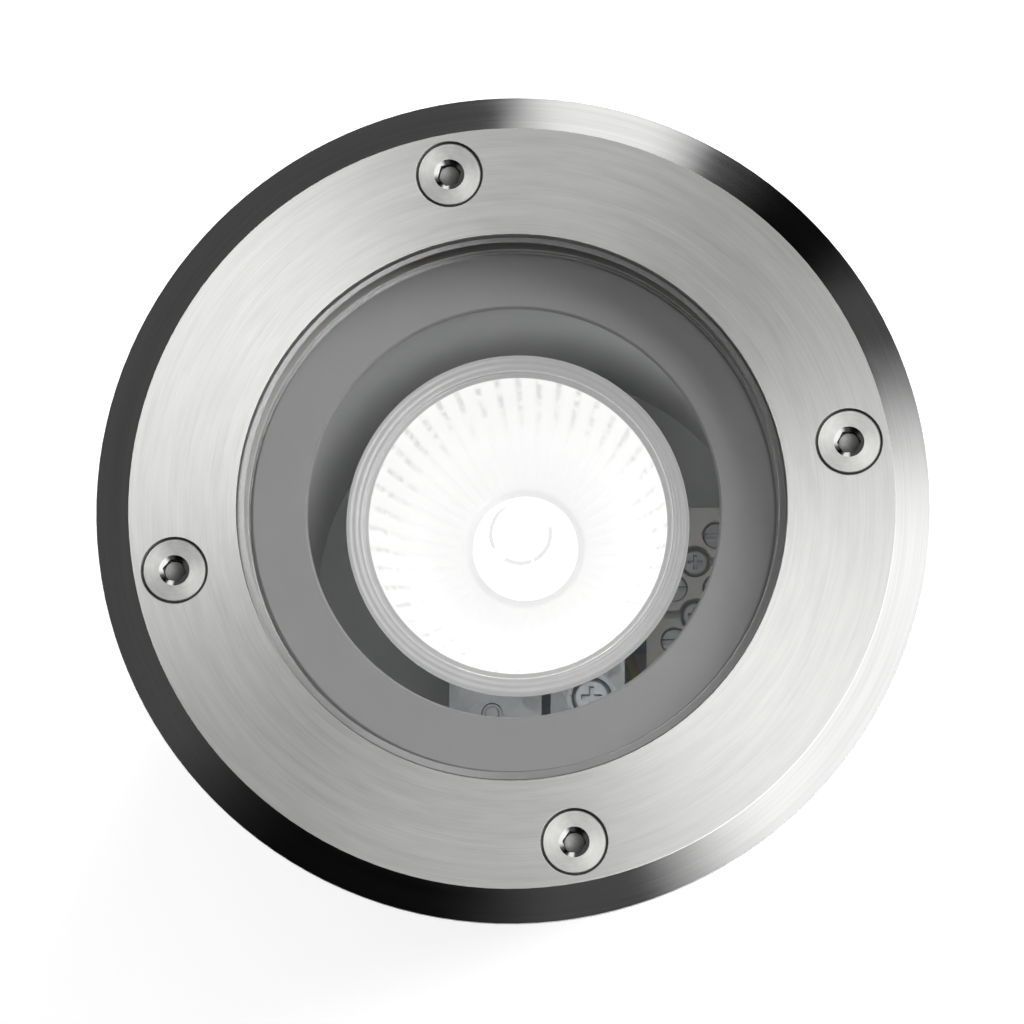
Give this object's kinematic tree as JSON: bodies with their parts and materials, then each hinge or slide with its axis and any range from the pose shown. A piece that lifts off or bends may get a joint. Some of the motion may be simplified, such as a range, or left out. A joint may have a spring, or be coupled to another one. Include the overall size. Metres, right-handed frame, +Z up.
{
  "type": "in ground well light",
  "caption": "Round recessed ground light: stainless bezel over clear glass, cast can with a twist-lock reflector lamp, plastic ground sleeve.",
  "frame": {"origin": "centre of the sleeve's foot, on the ground it stands on", "axes": "+Z up along the light's axis, out through the glass; +X towards the terminal block"},
  "size_m": [0.12, 0.12, 0.13],
  "materials": {
    "brushed_stainless": "turned stainless steel, face brushed in circles, chamfer polished",
    "screw_stainless": "bead-blasted stainless steel",
    "clear_glass": "clear toughened soda-lime glass, ground and polished edge",
    "gasket_silicone": "moulded grey silicone",
    "can_paint": "die-cast aluminium, grey polyester powder coat",
    "glare_paint": "pressed sheet, satin grey paint",
    "sleeve_plastic": "injection-moulded black polypropylene",
    "gland_nylon": "moulded black nylon",
    "seal_rubber": "black nitrile rubber",
    "steatite": "unglazed steatite",
    "brass": "machined brass",
    "contact_metal": "nickel-plated bronze strip",
    "zinc_steel": "zinc-plated steel",
    "strap_steel": "galvanised pressed sheet",
    "block_nylon": "natural grey nylon",
    "lead_brown": "brown silicone insulation",
    "lead_blue": "blue silicone insulation",
    "lead_earth": "green and yellow silicone insulation",
    "lamp_glass": "pressed glass with a faceted dichroic reflector",
    "lamp_cover": "clear cover glass, lit from behind",
    "quartz": "clear quartz",
    "tungsten": "coiled tungsten wire, glowing when lit",
    "pin_metal": "nickel-plated pin"
  },
  "bodies": {
    "sleeve": {"ground_sleeve": "sleeve_plastic"},
    "housing": {"can": "can_paint", "thread_inserts": "brass", "glare_ring": "glare_paint", "gland_body": "gland_nylon", "gland_washer": "seal_rubber", "gland_locknut": "gland_nylon", "gland_seal": "seal_rubber", "gland_cap": "gland_nylon", "lampholder": "steatite", "lampholder_contacts": "contact_metal", "lampholder_screws": "zinc_steel", "lampholder_nuts": "zinc_steel", "holder_bracket": "strap_steel", "bracket_screws": "zinc_steel", "terminal_block": "block_nylon", "terminal_clamps": "brass", "terminal_screws": "zinc_steel", "block_screws": "zinc_steel", "earth_ring_terminal": "zinc_steel", "earth_washer": "zinc_steel", "earth_screw": "zinc_steel", "live_lead": "lead_brown", "neutral_lead": "lead_blue", "earth_lead": "lead_earth"},
    "cover": {"bezel": "brushed_stainless", "bezel_screws": "screw_stainless", "glass_lens": "clear_glass", "glass_gasket": "gasket_silicone"},
    "lamp": {"lamp_reflector": "lamp_glass", "lamp_cover_glass": "lamp_cover", "lamp_capsule": "quartz", "lamp_filament": "tungsten", "lamp_base": "steatite", "lamp_pins": "pin_metal"}
  },
  "joints": [
    {"name": "housing_lift", "type": "slide", "parent": "sleeve", "child": "housing", "axis": [0, 0, 1], "range_m": [0, 0.11]},
    {"name": "cover_lift", "type": "slide", "parent": "housing", "child": "cover", "axis": [0, 0, 1], "range_m": [0, 0.05]},
    {"name": "lamp_twist", "type": "hinge", "parent": "housing", "child": "lamp", "pos_m": [0, 0, 0.0625], "axis": [0, 0, 1], "range_deg": [0, 40]}
  ]
}
